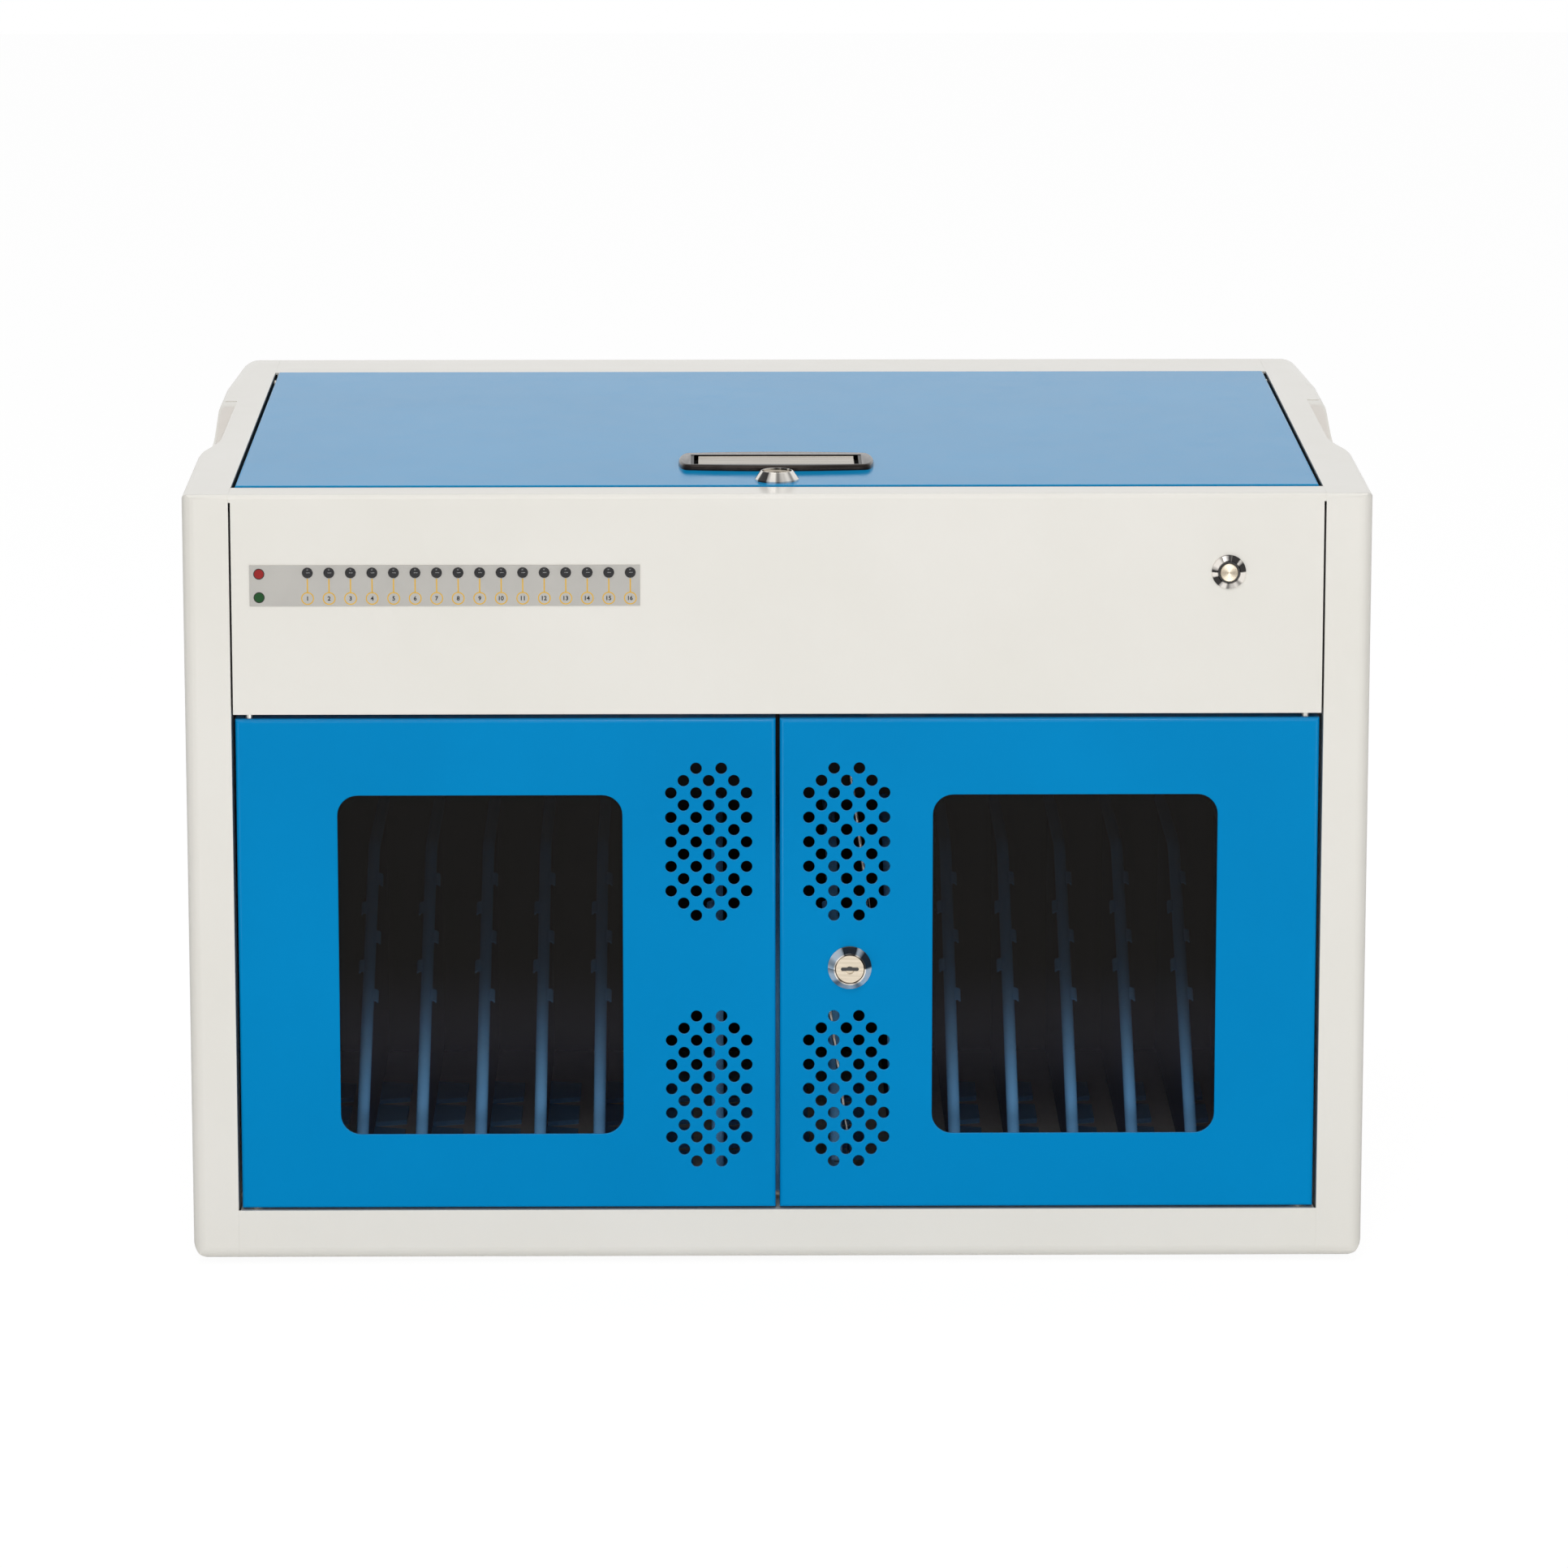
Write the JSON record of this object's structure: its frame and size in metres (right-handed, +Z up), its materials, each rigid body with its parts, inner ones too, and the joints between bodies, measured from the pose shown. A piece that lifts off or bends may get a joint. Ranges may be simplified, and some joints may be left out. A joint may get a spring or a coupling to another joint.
{
  "type": "device charging cabinet",
  "caption": "Lockable desktop cabinet with windowed double doors, a rack of dividers for charging devices, a lidded charger bay, status lamps and side grips.",
  "frame": {"origin": "centre of the bounding box's footprint, on the surface that the feet stand on", "axes": "+X to the right seen from the front, +Y from the doors to the back, +Z up"},
  "size_m": [0.61, 0.4796, 0.4131],
  "materials": {
    "white_paint": "cream white powder coat, satin",
    "inner_paint": "white powder coat, satin",
    "blue_paint": "bright blue powder coat, semi-gloss",
    "smoked_acrylic": "smoked clear acrylic",
    "divider_plastic": "blue moulded plastic",
    "rack_plastic": "light grey plastic sheet",
    "grip_plastic": "off-white moulded plastic",
    "rubber": "black rubber",
    "zinc": "bright zinc plate",
    "chrome": "polished chrome plate",
    "satin_nickel": "satin nickel, brushed",
    "dark_nickel": "black nickel, polished",
    "legend_print": "grey printed film",
    "lamp_lens": "dark clear lens",
    "circuit_board": "green board",
    "black_plastic": "black moulded plastic",
    "module_case": "plain aluminium case"
  },
  "bodies": {
    "cabinet": {"left_side_panel": "white_paint", "right_side_panel": "white_paint", "front_fascia": "white_paint", "base_pan": "white_paint", "rear_panel": "white_paint", "rear_vent_panel": "white_paint", "compartment_shelf": "inner_paint", "lid_rails": "inner_paint", "divider_01": "divider_plastic", "divider_02": "divider_plastic", "divider_03": "divider_plastic", "divider_04": "divider_plastic", "divider_05": "divider_plastic", "divider_06": "divider_plastic", "divider_07": "divider_plastic", "divider_08": "divider_plastic", "divider_09": "divider_plastic", "divider_10": "divider_plastic", "divider_11": "divider_plastic", "divider_12": "divider_plastic", "divider_13": "divider_plastic", "divider_14": "divider_plastic", "divider_15": "divider_plastic", "divider_16": "divider_plastic", "divider_17": "divider_plastic", "rack_floor": "rack_plastic", "rack_back": "rack_plastic", "left_grip": "grip_plastic", "right_grip": "grip_plastic", "rubber_feet": "rubber", "hinge_pins": "zinc", "switch_nut": "zinc", "switch_body": "chrome", "legend_strip": "legend_print", "status_lamps": "lamp_lens", "lamp_board": "circuit_board", "charging_hub": "black_plastic", "mains_inlet": "black_plastic", "door_catches": "black_plastic", "power_module": "module_case"},
    "left_door": {"left_door_panel": "blue_paint", "left_window": "smoked_acrylic"},
    "right_door": {"right_door_panel": "blue_paint", "right_window": "smoked_acrylic", "door_lock_body": "chrome", "door_lock_nut": "zinc", "lock_rod_guides": "zinc"},
    "door_lock_core": {"door_lock_plug": "satin_nickel", "door_lock_cam": "zinc"},
    "upper_rod": {"upper_lock_rod": "zinc"},
    "lower_rod": {"lower_lock_rod": "zinc"},
    "lid": {"lid_panel": "blue_paint", "handle_bezel": "dark_nickel", "lid_lock_body": "chrome", "lid_lock_nut": "zinc"},
    "lid_lock_core": {"lid_lock_plug": "satin_nickel", "lid_lock_cam": "zinc"},
    "flap": {"handle_flap": "satin_nickel"},
    "button": {"power_button": "satin_nickel"}
  },
  "joints": [
    {"name": "left_door_hinge", "type": "hinge", "parent": "cabinet", "child": "left_door", "pos_m": [-0.272, -0.2298, 0.16], "axis": [0, 0, -1], "range_deg": [0, 110]},
    {"name": "right_door_hinge", "type": "hinge", "parent": "cabinet", "child": "right_door", "pos_m": [0.272, -0.2298, 0.16], "axis": [0, 0, 1], "range_deg": [0, 110]},
    {"name": "door_lock_turn", "type": "hinge", "parent": "right_door", "child": "door_lock_core", "pos_m": [0.0373, -0.2348, 0.1591], "axis": [0, -1, 0], "range_deg": [0, 90]},
    {"name": "upper_rod_slide", "type": "slide", "parent": "right_door", "child": "upper_rod", "axis": [0, 0, 1], "range_m": [0, 0.0198]},
    {"name": "lower_rod_slide", "type": "slide", "parent": "right_door", "child": "lower_rod", "axis": [0, 0, -1], "range_m": [0, 0.0198]},
    {"name": "lid_hinge", "type": "hinge", "parent": "cabinet", "child": "lid", "pos_m": [0, 0.1772, 0.4025], "axis": [-1, 0, 0], "range_deg": [0, 95]},
    {"name": "lid_lock_turn", "type": "hinge", "parent": "lid", "child": "lid_lock_core", "pos_m": [0, -0.1933, 0.4075], "axis": [0, 0, -1], "range_deg": [0, 90]},
    {"name": "handle_flap_hinge", "type": "hinge", "parent": "lid", "child": "flap", "pos_m": [0, -0.1324, 0.4095], "axis": [1, 0, 0], "range_deg": [0, 50], "stiffness_Nm_per_rad": 0.02, "springref_deg": -28.65},
    {"name": "power_button_press", "type": "slide", "parent": "cabinet", "child": "button", "axis": [0, 1, 0], "range_m": [0, 0.002], "stiffness_N_per_m": 400, "springref_m": -0.001}
  ],
  "couplings": [
    {"joint": "door_lock_turn", "follows": "upper_rod_slide", "rad_per_m": 79.33},
    {"joint": "lower_rod_slide", "follows": "upper_rod_slide", "ratio": 1}
  ]
}
